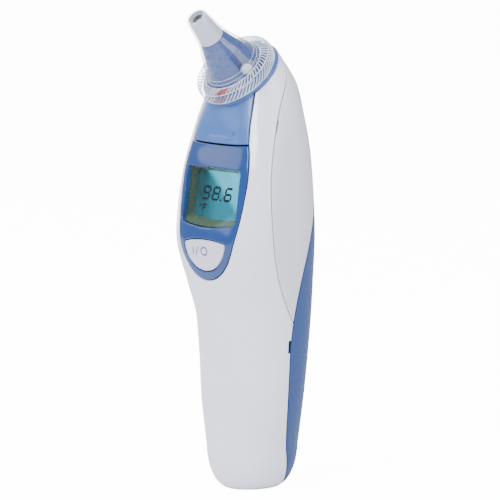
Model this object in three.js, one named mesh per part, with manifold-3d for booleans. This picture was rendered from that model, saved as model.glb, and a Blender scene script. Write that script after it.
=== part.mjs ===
// Digital ear thermometer: housing, display, start and power buttons, probe with
// its clear lens filter and ejector, battery compartment and electronics.
// Millimetres. +Z up the handle, the display faces -Y, the object stands on Z = 0.

import * as THREE from 'three';
import { LoftGeometry } from 'three/addons/geometries/LoftGeometry.js';
import { mergeVertices } from 'three/addons/utils/BufferGeometryUtils.js';
import Module from 'manifold-3d';

const wasm = await Module();
wasm.setup();

// ---------------------------------------------------------------- driving sizes

const gap = 0.3;
const wall = 1.8;
const far = 60;

// Handle and head: each station gives the front and back of the section in the
// side view, its half width, and how square its front and back halves are.
const probeTilt = THREE.MathUtils.degToRad(43.5);
const flangeCentre = { y: -8.5, z: 132 };
const rimRadius = 12.9;
const rimDrop = 4.2;
const rimOffset = 1.3;
const cornerHeight = 14;
const footScale = 0.45;

const stations = [
  { front: [-16.2, 14], back: [13.5, 14], half: 12.5, squareFront: 2.1, squareBack: 2.4 },
  { front: [-16.0, 28], back: [14.0, 28], half: 15.3, squareFront: 2.3, squareBack: 2.4 },
  { front: [-16.4, 43], back: [15.4, 43], half: 16.5, squareFront: 2.3, squareBack: 2.4 },
  { front: [-17.3, 55], back: [16.2, 55], half: 17.5, squareFront: 2.3, squareBack: 2.4 },
  { front: [-20.0, 66], back: [16.6, 66], half: 18.6, squareFront: 2.6, squareBack: 2.4 },
  { front: [-21.6, 78], back: [16.3, 79], half: 19.9, squareFront: 3.4, squareBack: 2.5 },
  { front: [-19.8, 88], back: [15.3, 90], half: 20.3, squareFront: 3.9, squareBack: 2.5 },
  { front: [-18.0, 101], back: [14.0, 107], half: 19.3, squareFront: 3.5, squareBack: 2.5 },
  { front: [-16.0, 109], back: [12.2, 118], half: 18.0, squareFront: 3.2, squareBack: 2.4 },
  { front: [-15.3, 114.5], back: [10.5, 128.5], half: 15.9, squareFront: 2.8, squareBack: 2.3 },
  rimStation(),
];

// Seams, as side-view curves that run straight across the body.
const hoodArc = { y: 54.9, z: 90.5, radius: 66 };
const doorTop = 85.4;
const doorFoot = 1.2;
const panelSplit = { y: -17.2, z: 108.3, slope: 0.3 };

// Display, tilted with the front face.
const displayTilt = THREE.MathUtils.degToRad(-8.1);
const displayCentre = { y: -19.1, z: 93.2 };
const windowHalf = 12.0;
const windowFoot = 84.2;
const windowTop = 101.6;
const lcdDepth = 5.3;

// Chassis, board and cells.
const spine = { back: -5.6, thick: 1.2 };
const board = { back: -7.2, thick: 1.0, half: 10.4, foot: 46, top: 110 };
const cell = { radius: 7.0, length: 49.0, x: 7.1, y: 1.7, foot: 34.6 };
const nub = { radius: 2.7, length: 1.1 };
const screw = { shank: 1.2, head: 2.2, headHigh: 1.2, long: 6.5 };

// ---------------------------------------------------------------- materials

function finish(colour, roughness, metalness = 0) {
  return new THREE.MeshStandardMaterial({ color: colour, roughness, metalness });
}

function clearFinish(colour, roughness, opacity) {
  const material = finish(colour, roughness);
  material.transparent = true;
  material.opacity = opacity;
  return material;
}

const glossWhite = finish(0xe8e9ee, 0.25);
const satinWhite = finish(0xd0d0d6, 0.45);
const blue = finish(0x4e7db5, 0.25);
const satinBlue = finish(0x7f9dc8, 0.45);
const milkyWhite = finish(0xe4e6ea, 0.4);
const filterClear = clearFinish(0xdfe9f0, 0.12, 0.4);
const windowClear = clearFinish(0xcfe6e8, 0.08, 0.3);
const lcdTeal = finish(0x2a96a8, 0.2);
const paleGreen = finish(0x9fb08a, 0.5);
const darkGrey = finish(0x4a4d52, 0.6);
const black = finish(0x1c1d20, 0.5);
const boardGreen = finish(0x1d5c3a, 0.5);
const steel = finish(0xb8bcc2, 0.3, 1);
const gold = finish(0xd9b45a, 0.2, 1);
const cellGrey = finish(0x8a8f96, 0.35, 0.3);

// ---------------------------------------------------------------- solid helpers

// Turns a closed geometry into a solid with its faces outward.
function solid(geometry) {
  const bare = new THREE.BufferGeometry().copy(geometry);
  bare.deleteAttribute('normal');
  bare.deleteAttribute('uv');
  const welded = mergeVertices(bare, 1e-4);
  const positions = welded.attributes.position.array;
  const corners = Uint32Array.from(welded.index.array);
  if (signedVolume(positions, corners) < 0) {
    for (let i = 0; i < corners.length; i += 3) {
      [corners[i + 1], corners[i + 2]] = [corners[i + 2], corners[i + 1]];
    }
  }
  return new wasm.Manifold(
    new wasm.Mesh({ numProp: 3, vertProperties: positions, triVerts: corners }),
  );
}

function signedVolume(positions, corners) {
  const a = new THREE.Vector3();
  const b = new THREE.Vector3();
  const c = new THREE.Vector3();
  let total = 0;
  for (let i = 0; i < corners.length; i += 3) {
    a.fromArray(positions, corners[i] * 3);
    b.fromArray(positions, corners[i + 1] * 3);
    c.fromArray(positions, corners[i + 2] * 3);
    total += a.dot(b.cross(c));
  }
  return total;
}

function geometryOf(manifold) {
  const mesh = manifold.getMesh();
  const geometry = new THREE.BufferGeometry();
  geometry.setAttribute('position', new THREE.Float32BufferAttribute(mesh.vertProperties, 3));
  geometry.setIndex(Array.from(mesh.triVerts));
  geometry.computeVertexNormals();
  return geometry;
}

function placed(manifold, matrix) {
  return manifold.transform(matrix.elements);
}

function box(x, y, z) {
  const geometry = new THREE.BoxGeometry(x[1] - x[0], y[1] - y[0], z[1] - z[0]);
  geometry.translate((x[0] + x[1]) / 2, (y[0] + y[1]) / 2, (z[0] + z[1]) / 2);
  return solid(geometry);
}

// A rod along Y, as the screws, bosses and holes of the housing are.
function rodY(radius, x, z, y0, y1, sides = 16) {
  const geometry = new THREE.CylinderGeometry(radius, radius, y1 - y0, sides);
  geometry.translate(x, (y0 + y1) / 2, z);
  return solid(geometry);
}

function rodZ(radius, x, y, z0, z1, sides = 24) {
  const geometry = new THREE.CylinderGeometry(radius, radius, z1 - z0, sides);
  geometry.rotateX(Math.PI / 2);
  geometry.translate(x, y, (z0 + z1) / 2);
  return solid(geometry);
}

// Turns a profile of [radius, height] points about the Z axis.
function turned(profile, sides = 24) {
  const points = profile.map(([radius, height]) => new THREE.Vector2(radius, height));
  const geometry = new THREE.LatheGeometry(points, sides);
  geometry.rotateX(Math.PI / 2);
  return solid(geometry);
}

// Extrudes a side-view shape (Y across, Z up) over the whole width.
function sidePrism(shape, halfWidth = far) {
  const options = { depth: 2 * halfWidth, bevelEnabled: false, curveSegments: 10 };
  const geometry = new THREE.ExtrudeGeometry(shape, options);
  geometry.translate(0, 0, -halfWidth);
  geometry.applyMatrix4(new THREE.Matrix4().makeBasis(
    new THREE.Vector3(0, 1, 0), new THREE.Vector3(0, 0, 1), new THREE.Vector3(1, 0, 0),
  ));
  return solid(geometry);
}

// Extrudes a front-view shape (X across, Z up) from one Y to another.
function frontPrism(shape, y0, y1, curveSegments = 6) {
  const options = { depth: y1 - y0, bevelEnabled: false, curveSegments };
  const geometry = new THREE.ExtrudeGeometry(shape, options);
  geometry.applyMatrix4(new THREE.Matrix4().makeBasis(
    new THREE.Vector3(1, 0, 0), new THREE.Vector3(0, 0, 1), new THREE.Vector3(0, -1, 0),
  ));
  geometry.translate(0, y1, 0);
  return solid(geometry);
}

// Sweeps a round wire along a helix about the Z axis.
function coil(radius, wire, turns, height) {
  const steps = turns * 8;
  const points = [];
  for (let i = 0; i <= steps; i += 1) {
    const angle = (i / 8) * 2 * Math.PI;
    const z = wire + (i / steps) * (height - 2 * wire);
    points.push(new THREE.Vector3(radius * Math.cos(angle), radius * Math.sin(angle), z));
  }
  const section = new THREE.Shape().absarc(0, 0, wire, 0, 2 * Math.PI);
  return solid(new THREE.ExtrudeGeometry(section, {
    steps,
    curveSegments: 3,
    bevelEnabled: false,
    extrudePath: new THREE.CatmullRomCurve3(points),
  }));
}

// ---------------------------------------------------------------- body surface

// The top section is a circle square to the probe, just under the filter.
function rimStation() {
  const along = { y: -Math.sin(probeTilt), z: Math.cos(probeTilt) };
  const across = { y: Math.cos(probeTilt), z: Math.sin(probeTilt) };
  const centre = {
    y: flangeCentre.y - rimDrop * along.y + rimOffset * across.y,
    z: flangeCentre.z - rimDrop * along.z + rimOffset * across.z,
  };
  return {
    front: [centre.y - rimRadius * across.y, centre.z - rimRadius * across.z],
    back: [centre.y + rimRadius * across.y, centre.z + rimRadius * across.z],
    half: rimRadius,
    squareFront: 2,
    squareBack: 2,
  };
}

const frontLine = new THREE.CatmullRomCurve3(
  stations.map((s) => new THREE.Vector3(s.half, s.front[0], s.front[1])),
);
const backLine = new THREE.CatmullRomCurve3(
  stations.map((s) => new THREE.Vector3(s.half, s.back[0], s.back[1])),
);

// A section at t (0 at the lowest station, 1 at the rim), inset by a wall.
function bodySection(t, inset, scale, lift, columns) {
  const front = frontLine.getPoint(t);
  const back = backLine.getPoint(t);
  const index = Math.min(Math.floor(t * (stations.length - 1)), stations.length - 2);
  const part = t * (stations.length - 1) - index;
  const low = stations[index];
  const high = stations[index + 1];
  const squareFront = THREE.MathUtils.lerp(low.squareFront, high.squareFront, part);
  const squareBack = THREE.MathUtils.lerp(low.squareBack, high.squareBack, part);
  const halfY = (back.y - front.y) / 2;
  const halfZ = (back.z - front.z) / 2;
  const depth = Math.hypot(halfY, halfZ);
  const shrink = (depth * scale - inset) / depth;
  const halfX = front.x * scale - inset;
  const points = [];
  for (let i = 0; i < columns; i += 1) {
    const angle = (i / columns) * 2 * Math.PI;
    const power = 2 / (Math.sin(angle) < 0 ? squareFront : squareBack);
    const across = Math.sign(Math.cos(angle)) * Math.abs(Math.cos(angle)) ** power;
    const along = Math.sign(Math.sin(angle)) * Math.abs(Math.sin(angle)) ** power;
    points.push(new THREE.Vector3(
      halfX * across,
      (front.y + back.y) / 2 + halfY * shrink * along,
      (front.z + back.z) / 2 + halfZ * shrink * along - lift,
    ));
  }
  return points;
}

// The closed body, inset all round; its rounded foot ends in a flat.
function bodySolid(inset, columns = 32) {
  const sections = [];
  const footSteps = 4;
  const rows = 16;
  for (let i = 0; i < footSteps; i += 1) {
    const angle = (i / footSteps) * (Math.PI / 2);
    const height = inset + (cornerHeight - inset) * (1 - Math.cos(angle));
    const scale = footScale + (1 - footScale) * Math.sin(angle);
    sections.push(bodySection(0, inset * scale, scale, cornerHeight - height, columns));
  }
  for (let i = 0; i <= rows; i += 1) {
    sections.push(bodySection(i / rows, inset, 1, 0, columns));
  }
  return solid(new LoftGeometry(sections, { capStart: true, capEnd: true }));
}

const body = bodySolid(0);

// ---------------------------------------------------------------- probe frame

const probeMatrix = new THREE.Matrix4()
  .makeTranslation(0, flangeCentre.y, flangeCentre.z)
  .multiply(new THREE.Matrix4().makeRotationX(probeTilt));
const rimBelow = (drop) => placed(box([-far, far], [-200, 200], [-200, -drop]), probeMatrix);

// The room inside the walls, which stops short of the rim to leave a top plate.
const cavity = bodySolid(wall).intersect(rimBelow(rimDrop + wall));

// ---------------------------------------------------------------- seam regions

// Everything behind the blue panel's edge, as seen from the side.
function panelShape(back) {
  const shape = new THREE.Shape();
  shape.moveTo(5.0 + back, -1);
  shape.lineTo(5.0 + back, 0);
  shape.bezierCurveTo(3.2 + back, 10, back, 20, back, 34);
  shape.lineTo(back, 44);
  shape.bezierCurveTo(0.3 + back, 62, 6.2 + back, 76, 10.5 + back, 93);
  shape.lineTo(16.6 + back, 117);
  shape.lineTo(far, 117);
  shape.lineTo(far, -1);
  return shape;
}

const behindPanel = (back) => sidePrism(panelShape(back));
const aboveDoor = box([-far, far], [-far, far], [doorTop + gap, 200]);
const underDoorTop = box([-far, far], [-far, far], [doorFoot, doorTop]);

// Everything behind the hood seam, a plain arc in the side view.
function behindHood(shift) {
  const shape = new THREE.Shape();
  const radius = hoodArc.radius - shift;
  const reach = 0.72;
  shape.moveTo(far, hoodArc.z - radius * Math.sin(reach));
  shape.lineTo(hoodArc.y - radius * Math.cos(reach), hoodArc.z - radius * Math.sin(reach));
  shape.absarc(hoodArc.y, hoodArc.z, radius, Math.PI + reach, Math.PI - reach, true);
  shape.lineTo(far, hoodArc.z + radius * Math.sin(reach));
  return sidePrism(shape);
}

// ---------------------------------------------------------------- panel outlines

// The display panel's shield outline, with the apron of the ejector above it.
function shieldShape(grow, top) {
  const shape = new THREE.Shape();
  const edge = 12.65 + grow;
  shape.moveTo(0, 66.6 - grow);
  shape.bezierCurveTo(4.8, 66.6 - grow, 9.2 + grow, 70, 11.6 + grow, 76.8);
  shape.bezierCurveTo(13.5 + grow, 82.5, 14.0 + grow, 88, 14.5 + grow, 94.5);
  shape.bezierCurveTo(15.0 + grow, 100, 14.2 + grow, 105, edge, 109.5);
  shape.lineTo(edge - (top - 109.5) * 0.13, top);
  shape.lineTo(-edge + (top - 109.5) * 0.13, top);
  shape.lineTo(-edge, 109.5);
  shape.bezierCurveTo(-14.2 - grow, 105, -15.0 - grow, 100, -14.5 - grow, 94.5);
  shape.bezierCurveTo(-14.0 - grow, 88, -13.5 - grow, 82.5, -11.6 - grow, 76.8);
  shape.bezierCurveTo(-9.2 - grow, 70, -4.8, 66.6 - grow, 0, 66.6 - grow);
  return shape;
}

function windowShape(grow) {
  const shape = new THREE.Shape();
  const side = windowHalf + grow;
  const foot = windowFoot - grow;
  const top = windowTop + grow;
  const corner = 1.6;
  shape.moveTo(-side + corner, foot);
  shape.quadraticCurveTo(0, foot - 2, side - corner, foot);
  shape.quadraticCurveTo(side, foot + 0.1, side, foot + corner);
  shape.lineTo(side, top - corner);
  shape.absarc(side - corner, top - corner, corner, 0, Math.PI / 2);
  shape.lineTo(-side + corner, top);
  shape.absarc(-side + corner, top - corner, corner, Math.PI / 2, Math.PI);
  shape.lineTo(-side, foot + corner);
  shape.quadraticCurveTo(-side, foot + 0.1, -side + corner, foot);
  return shape;
}

function buttonShape(grow) {
  const shape = new THREE.Shape();
  const side = 8.9 + grow;
  shape.moveTo(0, 69.6 - grow);
  shape.bezierCurveTo(4.8, 69.6 - grow, 8.2 + grow, 73.5, side, 77.4);
  shape.quadraticCurveTo(side + 0.1, 78.5 + grow, side - 1, 78.6 + grow);
  shape.quadraticCurveTo(0, 80.2 + grow, -side + 1, 78.6 + grow);
  shape.quadraticCurveTo(-side - 0.1, 78.5 + grow, -side, 77.4);
  shape.bezierCurveTo(-8.2 - grow, 73.5, -4.8, 69.6 - grow, 0, 69.6 - grow);
  return shape;
}

function startShape(grow) {
  const shape = new THREE.Shape();
  shape.absellipse(0, 95.5, 6.2 + grow, 7.6 + grow, 0, 2 * Math.PI);
  return shape;
}

// Everything below the sloping split between the ejector and the display panel.
function belowSplit(lift) {
  const z = (y) => panelSplit.z + lift + (y - panelSplit.y) * panelSplit.slope;
  const shape = new THREE.Shape();
  shape.moveTo(-far, 0);
  shape.lineTo(far, 0);
  shape.lineTo(far, z(far));
  shape.lineTo(-far, z(-far));
  return sidePrism(shape);
}

// ---------------------------------------------------------------- housings

const bossPlaces = [[0, 37], [-13.5, 60], [13.5, 60]];
const rearScrewX = 9.0;
const rearScrewZ = 93;
const rearSeat = 10.5;
const seamHalf = 0.15;

function frontHousing() {
  const probeHole = placed(rodZ(10.9, 0, 0, -8, 5), probeMatrix);
  const panelOpening = frontPrism(shieldShape(seamHalf, 140), -far, -4);
  const snapNotch = box([-far, far], [-1, 1], [43.5, 47.5]);
  const boss = ([x, z]) => rodY(2.5, x, z, -20, spine.back - spine.thick - gap).intersect(body);
  const pilot = ([x, z]) => rodY(screw.shank + gap, x, z, -12.2, 0);
  return body.subtract(cavity)
    .add(boss(bossPlaces[0]))
    .add(boss(bossPlaces[1]))
    .add(boss(bossPlaces[2]))
    .subtract(pilot(bossPlaces[0]))
    .subtract(pilot(bossPlaces[1]))
    .subtract(pilot(bossPlaces[2]))
    .subtract(behindPanel(-seamHalf))
    .subtract(behindHood(-seamHalf))
    .subtract(panelOpening)
    .subtract(probeHole)
    .subtract(snapNotch);
}

function rearHousing() {
  const probeHole = placed(rodZ(10.9, 0, 0, -8, 5), probeMatrix);
  const seat = body.subtract(bodySolid(4.6))
    .intersect(behindPanel(-1.8))
    .intersect(aboveDoor);
  const besideDoor = box([-far, far], [-far, far], [50, 90]).subtract(behindPanel(-seamHalf));
  const trimRoom = behindPanel(-seamHalf).subtract(bodySolid(3.2));
  const stemHole = frontPrism(startShape(gap), 0, far);
  const screwHole = (x) => rodY(screw.shank + gap, x, rearScrewZ, 0, far)
    .add(rodY(screw.head + gap, x, rearScrewZ, rearSeat - gap, far));
  const prySlot = box([-far, far], [-0.45, 0.45], [-2, 2])
    .rotate([-22, 0, 0])
    .translate([0, -6.3, 115]);
  return body.subtract(cavity)
    .intersect(aboveDoor.add(besideDoor))
    .add(seat)
    .intersect(behindHood(seamHalf))
    .subtract(trimRoom)
    .subtract(stemHole)
    .subtract(screwHole(-rearScrewX))
    .subtract(screwHole(rearScrewX))
    .subtract(probeHole)
    .subtract(prySlot);
}

function rearTrim() {
  return body.subtract(bodySolid(1.5))
    .intersect(behindPanel(seamHalf))
    .intersect(aboveDoor)
    .subtract(frontPrism(startShape(gap), 0, far));
}

// The door swings on two toes that reach in over the floor of the housing.
function batteryDoor() {
  const leaf = body.subtract(bodySolid(1.5))
    .intersect(behindPanel(seamHalf))
    .intersect(underDoorTop);
  const toe = (x) => box([x - 1.5, x + 1.5], [2.6, 12], [4.2, 6.0]).intersect(bodySolid(0.8));
  return leaf.add(toe(-3.5)).add(toe(3.5));
}

// ---------------------------------------------------------------- display panel

function displayBezel() {
  const below = belowSplit(0);
  const frontHalf = box([-far, far], [-far, -2], [0, 200]);
  const plate = body.subtract(bodySolid(2.6))
    .intersect(frontPrism(shieldShape(-seamHalf, 112), -far, -4));
  const lip = bodySolid(wall + gap).subtract(bodySolid(2.6))
    .intersect(frontPrism(shieldShape(1.2, 112), -far, -4));
  return plate.add(lip)
    .intersect(below)
    .intersect(frontHalf)
    .subtract(frontPrism(windowShape(0), -far, -4))
    .subtract(frontPrism(buttonShape(gap), -far, -4));
}

function displayWindow() {
  return bodySolid(0.1).subtract(bodySolid(1.4)).intersect(frontPrism(windowShape(-gap), -far, -8));
}

const displayMatrix = new THREE.Matrix4()
  .makeTranslation(0, displayCentre.y, displayCentre.z)
  .multiply(new THREE.Matrix4().makeRotationX(displayTilt));

// A frame of pale walls that runs from under the window down to the glass.
function displayFrame() {
  const collar = box([-12.2, 12.2], [3.3, lcdDepth - gap], [-8.1, 8.1]);
  const web = box([-12.9, 12.9], [lcdDepth - gap - 0.7, lcdDepth - gap], [-8.9, 8.9]);
  const skirt = box([-12.9, 12.9], [lcdDepth - gap - 0.1, lcdDepth + 2.9], [-8.9, 8.9])
    .subtract(box([-12.4, 12.4], [0, 20], [-8.4, 8.4]));
  const frame = collar.add(web).add(skirt).subtract(box([-11.6, 11.6], [0, 20], [-7.5, 7.5]));
  return placed(frame, displayMatrix).intersect(bodySolid(2.6 + gap));
}

function lcdGlass() {
  return placed(box([-12.1, 12.1], [lcdDepth, lcdDepth + 1.3], [-8.1, 8.1]), displayMatrix);
}

function lightGuide() {
  return placed(box([-12.1, 12.1], [lcdDepth + 1.6, lcdDepth + 2.6], [-8.1, 8.1]), displayMatrix);
}

// ---------------------------------------------------------------- buttons

function powerButton() {
  const layer = (outer, inner, grow) => bodySolid(outer).subtract(bodySolid(inner))
    .intersect(frontPrism(buttonShape(grow), -far, -8));
  const cap = layer(0, 2.2, 0);
  const lip = layer(3.4, 4.4, 1.1);
  const core = layer(1.5, 4.0, -0.6);
  const stem = rodY(1.7, 0, 75, -19, -13.2);
  return cap.add(core).add(lip).add(stem);
}

function powerSwitch() {
  return box([-3, 3], [-12.0, boardFront - gap], [72, 78]).add(rodY(1.5, 0, 75, -12.3, -11.5, 12));
}

function startButton() {
  const cap = body.subtract(bodySolid(2.6)).intersect(frontPrism(startShape(0), 4, far));
  const stem = rodY(1.7, 0, 95.5, 8.6, 13);
  return cap.add(stem);
}

function startSwitch() {
  return box([-3, 3], [4.6, 7.4], [92.5, 98.5]).add(rodY(1.5, 0, 95.5, 7, 7.7, 12));
}

// ---------------------------------------------------------------- probe

// Profiles in the probe's own frame: radius, height above the filter flange.
const tipEnd = 23.5;
const collarBore = 9.6;
const barrelRadius = 9.2;
const pin = { x: 7.0, y: -0.9, radius: 1.7, top: 2.75 };

function ejector() {
  const collarTop = -1.2;
  const circle = (centre, radius, height) => {
    const points = [];
    for (let i = 0; i < 32; i += 1) {
      const angle = (i / 32) * 2 * Math.PI;
      points.push(new THREE.Vector3(
        radius * Math.cos(angle), centre + radius * Math.sin(angle), height,
      ));
    }
    return points;
  };
  const collar = placed(solid(new LoftGeometry([
    circle(rimOffset, rimRadius - 0.05, -rimDrop + gap),
    circle(0.3, 12.6, collarTop),
  ], { capStart: true, capEnd: true })), probeMatrix);
  const root = placed(rodZ(rimRadius - 0.5, 0, rimOffset, -7.6, -rimDrop + gap + 0.1), probeMatrix);
  const apron = body.subtract(bodySolid(1.7))
    .add(root)
    .intersect(frontPrism(shieldShape(-seamHalf, 140), -far, -6))
    .subtract(belowSplit(0.45));
  const bore = placed(rodZ(collarBore, 0, 0, -30, 5), probeMatrix);
  return collar.add(apron).subtract(bore);
}

function probeBody() {
  const outside = turned([
    [0, -9], [barrelRadius, -9], [barrelRadius, 0.4], [8.6, 1.0], [8.2, 1.0], [7.9, 1.8],
    [6.9, 5], [6.0, 8], [5.0, 11], [4.2, 13.6], [0, 13.6],
  ]);
  const foot = turned([[0, -10.2], [9.9, -10.2], [9.9, -8.6], [0, -8.6]]);
  const bore = turned([[0, -11], [4.9, -11], [4.9, -0.6], [2.8, 0.2], [2.8, 15], [0, 15]], 16);
  return outside.add(foot).subtract(bore).subtract(rodZ(pin.radius + 0.25, pin.x, pin.y, -11, 8, 16));
}

function probeTip() {
  return turned([
    [2.5, 13.9], [4.05, 13.9], [3.1, 22.3], [2.9, tipEnd], [2.5, tipEnd], [2.5, 13.9],
  ]);
}

function waveguide() {
  return turned([[1.85, -0.4], [2.2, -0.4], [2.2, 22.6], [1.85, 22.6], [1.85, -0.4]], 16);
}

function sensorCan() {
  return turned([[0, -5.4], [3.1, -5.4], [3.1, -4.6], [2.7, -4.6], [2.7, -1.0], [0, -1.0]], 20);
}

function sensorHolder() {
  return turned([
    [0, -8.9], [4.6, -8.9], [4.6, -1.2], [3.4, -1.2], [3.4, -5.7], [0, -5.7],
  ], 24);
}

function lensFilter() {
  return turned([
    [9.9, -0.9], [13.4, -0.9], [13.4, 0.8], [13.0, 1.1], [9.6, 1.3], [8.8, 3.2], [7.5, 6.9],
    [4.7, 14.0], [3.6, 23.2], [3.0, 24.2], [0, 24.2], [0, 23.85], [2.9, 23.85], [3.35, 22.9],
    [4.4, 13.9], [7.2, 6.7], [8.5, 3.0], [9.2, 1.4], [9.3, 0.6], [9.9, 0.5], [9.9, -0.9],
  ]);
}

function filterPin() {
  const { radius, top } = pin;
  const dome = [];
  for (let i = 0; i <= 4; i += 1) {
    const angle = (i / 4) * (Math.PI / 2);
    dome.push([radius * Math.cos(angle), top - radius + radius * Math.sin(angle)]);
  }
  return turned([[0, -11.6], [0.9, -11.6], [0.9, -8], [radius, -8], ...dome], 16)
    .translate([pin.x, pin.y, 0]);
}

function filterSwitch() {
  return box([pin.x - 2, pin.x + 2], [pin.y - 2, pin.y + 2], [-16.2, -13.2]);
}

// ---------------------------------------------------------------- chassis

function chassis() {
  const front = spine.back - spine.thick;
  const outline = new THREE.Shape();
  outline.moveTo(-11.8, 28.2);
  outline.lineTo(11.8, 28.2);
  outline.lineTo(13, 55);
  outline.lineTo(14.6, 57);
  outline.lineTo(14.6, 63);
  outline.lineTo(13, 65);
  outline.lineTo(13, 106);
  outline.lineTo(9, 118.5);
  outline.lineTo(-9, 118.5);
  outline.lineTo(-13, 106);
  outline.lineTo(-13, 65);
  outline.lineTo(-14.6, 63);
  outline.lineTo(-14.6, 57);
  outline.lineTo(-13, 55);
  const plate = frontPrism(outline, front, spine.back);
  const footWall = box([-10.8, 10.8], [front, 6], [28.2, 29.4]);
  const headWall = box([-13, 13], [front, 7], [89.3, 90.3]);
  const switchPost = box([-4, 4], [front, 4.3], [92, 99]);
  const rearPost = (x) => rodY(2.5, x, rearScrewZ, front, rearSeat - 2.7)
    .subtract(rodY(screw.shank + gap, x, rearScrewZ, 1, 12));
  const probePlate = placed(
    rodZ(10, 0, 0, -12.4, -10.6).subtract(rodZ(5, 0, 0, -14, -10, 16))
      .subtract(rodZ(1.2, pin.x, pin.y, -14, -10, 12)),
    probeMatrix,
  );
  const cableSlot = box([-3.1, 3.1], [-9, -2.6], [112.8, 122.6]);
  const holes = bossPlaces.map(([x, z]) => rodY(screw.shank + gap, x, z, -9, 0));
  return plate.add(footWall).add(headWall).add(switchPost).add(probePlate)
    .add(rearPost(-rearScrewX))
    .add(rearPost(rearScrewX))
    .subtract(holes[0])
    .subtract(holes[1])
    .subtract(holes[2])
    .subtract(cableSlot);
}

function frontScrew([x, z]) {
  const seat = spine.back + gap;
  return rodY(screw.shank, x, z, seat - screw.long, seat + 0.1)
    .add(rodY(screw.head, x, z, seat, seat + screw.headHigh));
}

function rearScrew(x) {
  return rodY(screw.shank, x, rearScrewZ, rearSeat - 7.5, rearSeat + 0.1)
    .add(rodY(screw.head, x, rearScrewZ, rearSeat, rearSeat + 0.9));
}

// ---------------------------------------------------------------- electronics

const boardFront = board.back - board.thick;

function mainBoard() {
  return box([-board.half, board.half], [boardFront, board.back], [board.foot, board.top]);
}

function onBoard(halfX, z0, z1, high, x = 0) {
  return box([x - halfX, x + halfX], [boardFront - gap - high, boardFront - gap], [z0, z1]);
}

function buzzer() {
  return rodY(6, 0, 62, boardFront - gap - 2.2, boardFront - gap, 24);
}

function sensorCable() {
  const path = new THREE.CatmullRomCurve3([
    new THREE.Vector3(0, -7.5, 110.4),
    new THREE.Vector3(0, -7.6, 113.5),
    new THREE.Vector3(0, -6.3, 117.4),
    new THREE.Vector3(0, -3.4, 120.8),
    new THREE.Vector3(0, -2.3, 124.2),
  ]);
  const strip = new THREE.Shape([
    new THREE.Vector2(-2.5, -0.15),
    new THREE.Vector2(2.5, -0.15),
    new THREE.Vector2(2.5, 0.15),
    new THREE.Vector2(-2.5, 0.15),
  ]);
  return solid(new THREE.ExtrudeGeometry(strip, {
    steps: 8, bevelEnabled: false, extrudePath: path,
  }));
}

// ---------------------------------------------------------------- cells

function aaCell(side) {
  const nubFirst = side > 0;
  const bodyFoot = cell.foot + (nubFirst ? nub.length : 0);
  const nubFoot = nubFirst ? cell.foot : cell.foot + cell.length;
  return rodZ(cell.radius, side * cell.x, cell.y, bodyFoot, bodyFoot + cell.length)
    .add(rodZ(nub.radius, side * cell.x, cell.y, nubFoot, nubFoot + nub.length + 0.05, 16)
      .translate([0, 0, nubFirst ? 0 : -0.05]));
}

const cellSpan = cell.length + nub.length;
const springRoom = 4;

function cellSpring(side) {
  const foot = side > 0 ? cell.foot + cellSpan + gap : cell.foot - gap - springRoom;
  return coil(4.2, 0.4, 4, springRoom).translate([side * cell.x, cell.y, foot]);
}

function cellContact(side) {
  const foot = side > 0 ? cell.foot - 0.8 - gap : cell.foot + cellSpan + gap;
  const x = side * cell.x;
  return box([x - 4.5, x + 4.5], [cell.y - 4.5, cell.y + 3], [foot, foot + 0.8]);
}

// ---------------------------------------------------------------- assembly

function node(name, manifold, material) {
  const mesh = new THREE.Mesh(geometryOf(manifold), material);
  mesh.name = name;
  return mesh;
}

const thermometer = new THREE.Group();
thermometer.name = 'ear_thermometer';

const casing = new THREE.Group();
casing.name = 'casing';
casing.add(
  node('front_housing', frontHousing(), glossWhite),
  node('rear_housing', rearHousing(), satinWhite),
  node('rear_trim', rearTrim(), satinBlue),
  node('battery_door', batteryDoor(), satinBlue),
  node('display_bezel', displayBezel(), blue),
  node('display_window', displayWindow(), windowClear),
  node('power_button', powerButton(), glossWhite),
  node('start_button', startButton(), blue),
  node('ejector', ejector(), satinBlue),
  node('chassis', chassis(), darkGrey),
);

const screws = new THREE.Group();
screws.name = 'screws';
screws.add(
  node('front_screw_lower', frontScrew(bossPlaces[0]), steel),
  node('front_screw_left', frontScrew(bossPlaces[1]), steel),
  node('front_screw_right', frontScrew(bossPlaces[2]), steel),
  node('rear_screw_left', rearScrew(-rearScrewX), steel),
  node('rear_screw_right', rearScrew(rearScrewX), steel),
);

const display = new THREE.Group();
display.name = 'display';
display.add(
  node('display_frame', displayFrame(), paleGreen),
  node('lcd_glass', lcdGlass(), lcdTeal),
  node('light_guide', lightGuide(), milkyWhite),
);

const electronics = new THREE.Group();
electronics.name = 'electronics';
electronics.add(
  node('main_board', mainBoard(), boardGreen),
  node('microcontroller', onBoard(3.6, 47.5, 54.7, 1.2), black),
  node('amplifier_chip', onBoard(2.2, 104, 108.4, 1.1, 6), black),
  node('crystal', onBoard(1.2, 48, 53, 1.4, -7.2), steel),
  node('capacitor', onBoard(1.3, 48, 52, 1.6, 7.2), gold),
  node('buzzer', buzzer(), black),
  node('power_switch', powerSwitch(), darkGrey),
  node('start_switch', startSwitch(), darkGrey),
  node('sensor_cable', sensorCable(), gold),
);

const probe = new THREE.Group();
probe.name = 'probe';
probe.position.set(0, flangeCentre.y, flangeCentre.z);
probe.rotation.x = probeTilt;
probe.add(
  node('probe_body', probeBody(), satinBlue),
  node('probe_tip', probeTip(), milkyWhite),
  node('waveguide', waveguide(), gold),
  node('sensor_can', sensorCan(), steel),
  node('sensor_holder', sensorHolder(), steel),
  node('lens_filter', lensFilter(), filterClear),
  node('filter_detector', filterPin(), milkyWhite),
  node('filter_switch', filterSwitch(), darkGrey),
);
const ejectorSpring = node('ejector_spring', coil(1.2, 0.3, 5, 5.5), steel);
ejectorSpring.position.set(5, -12.2, -13.4);
probe.add(ejectorSpring);

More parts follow.
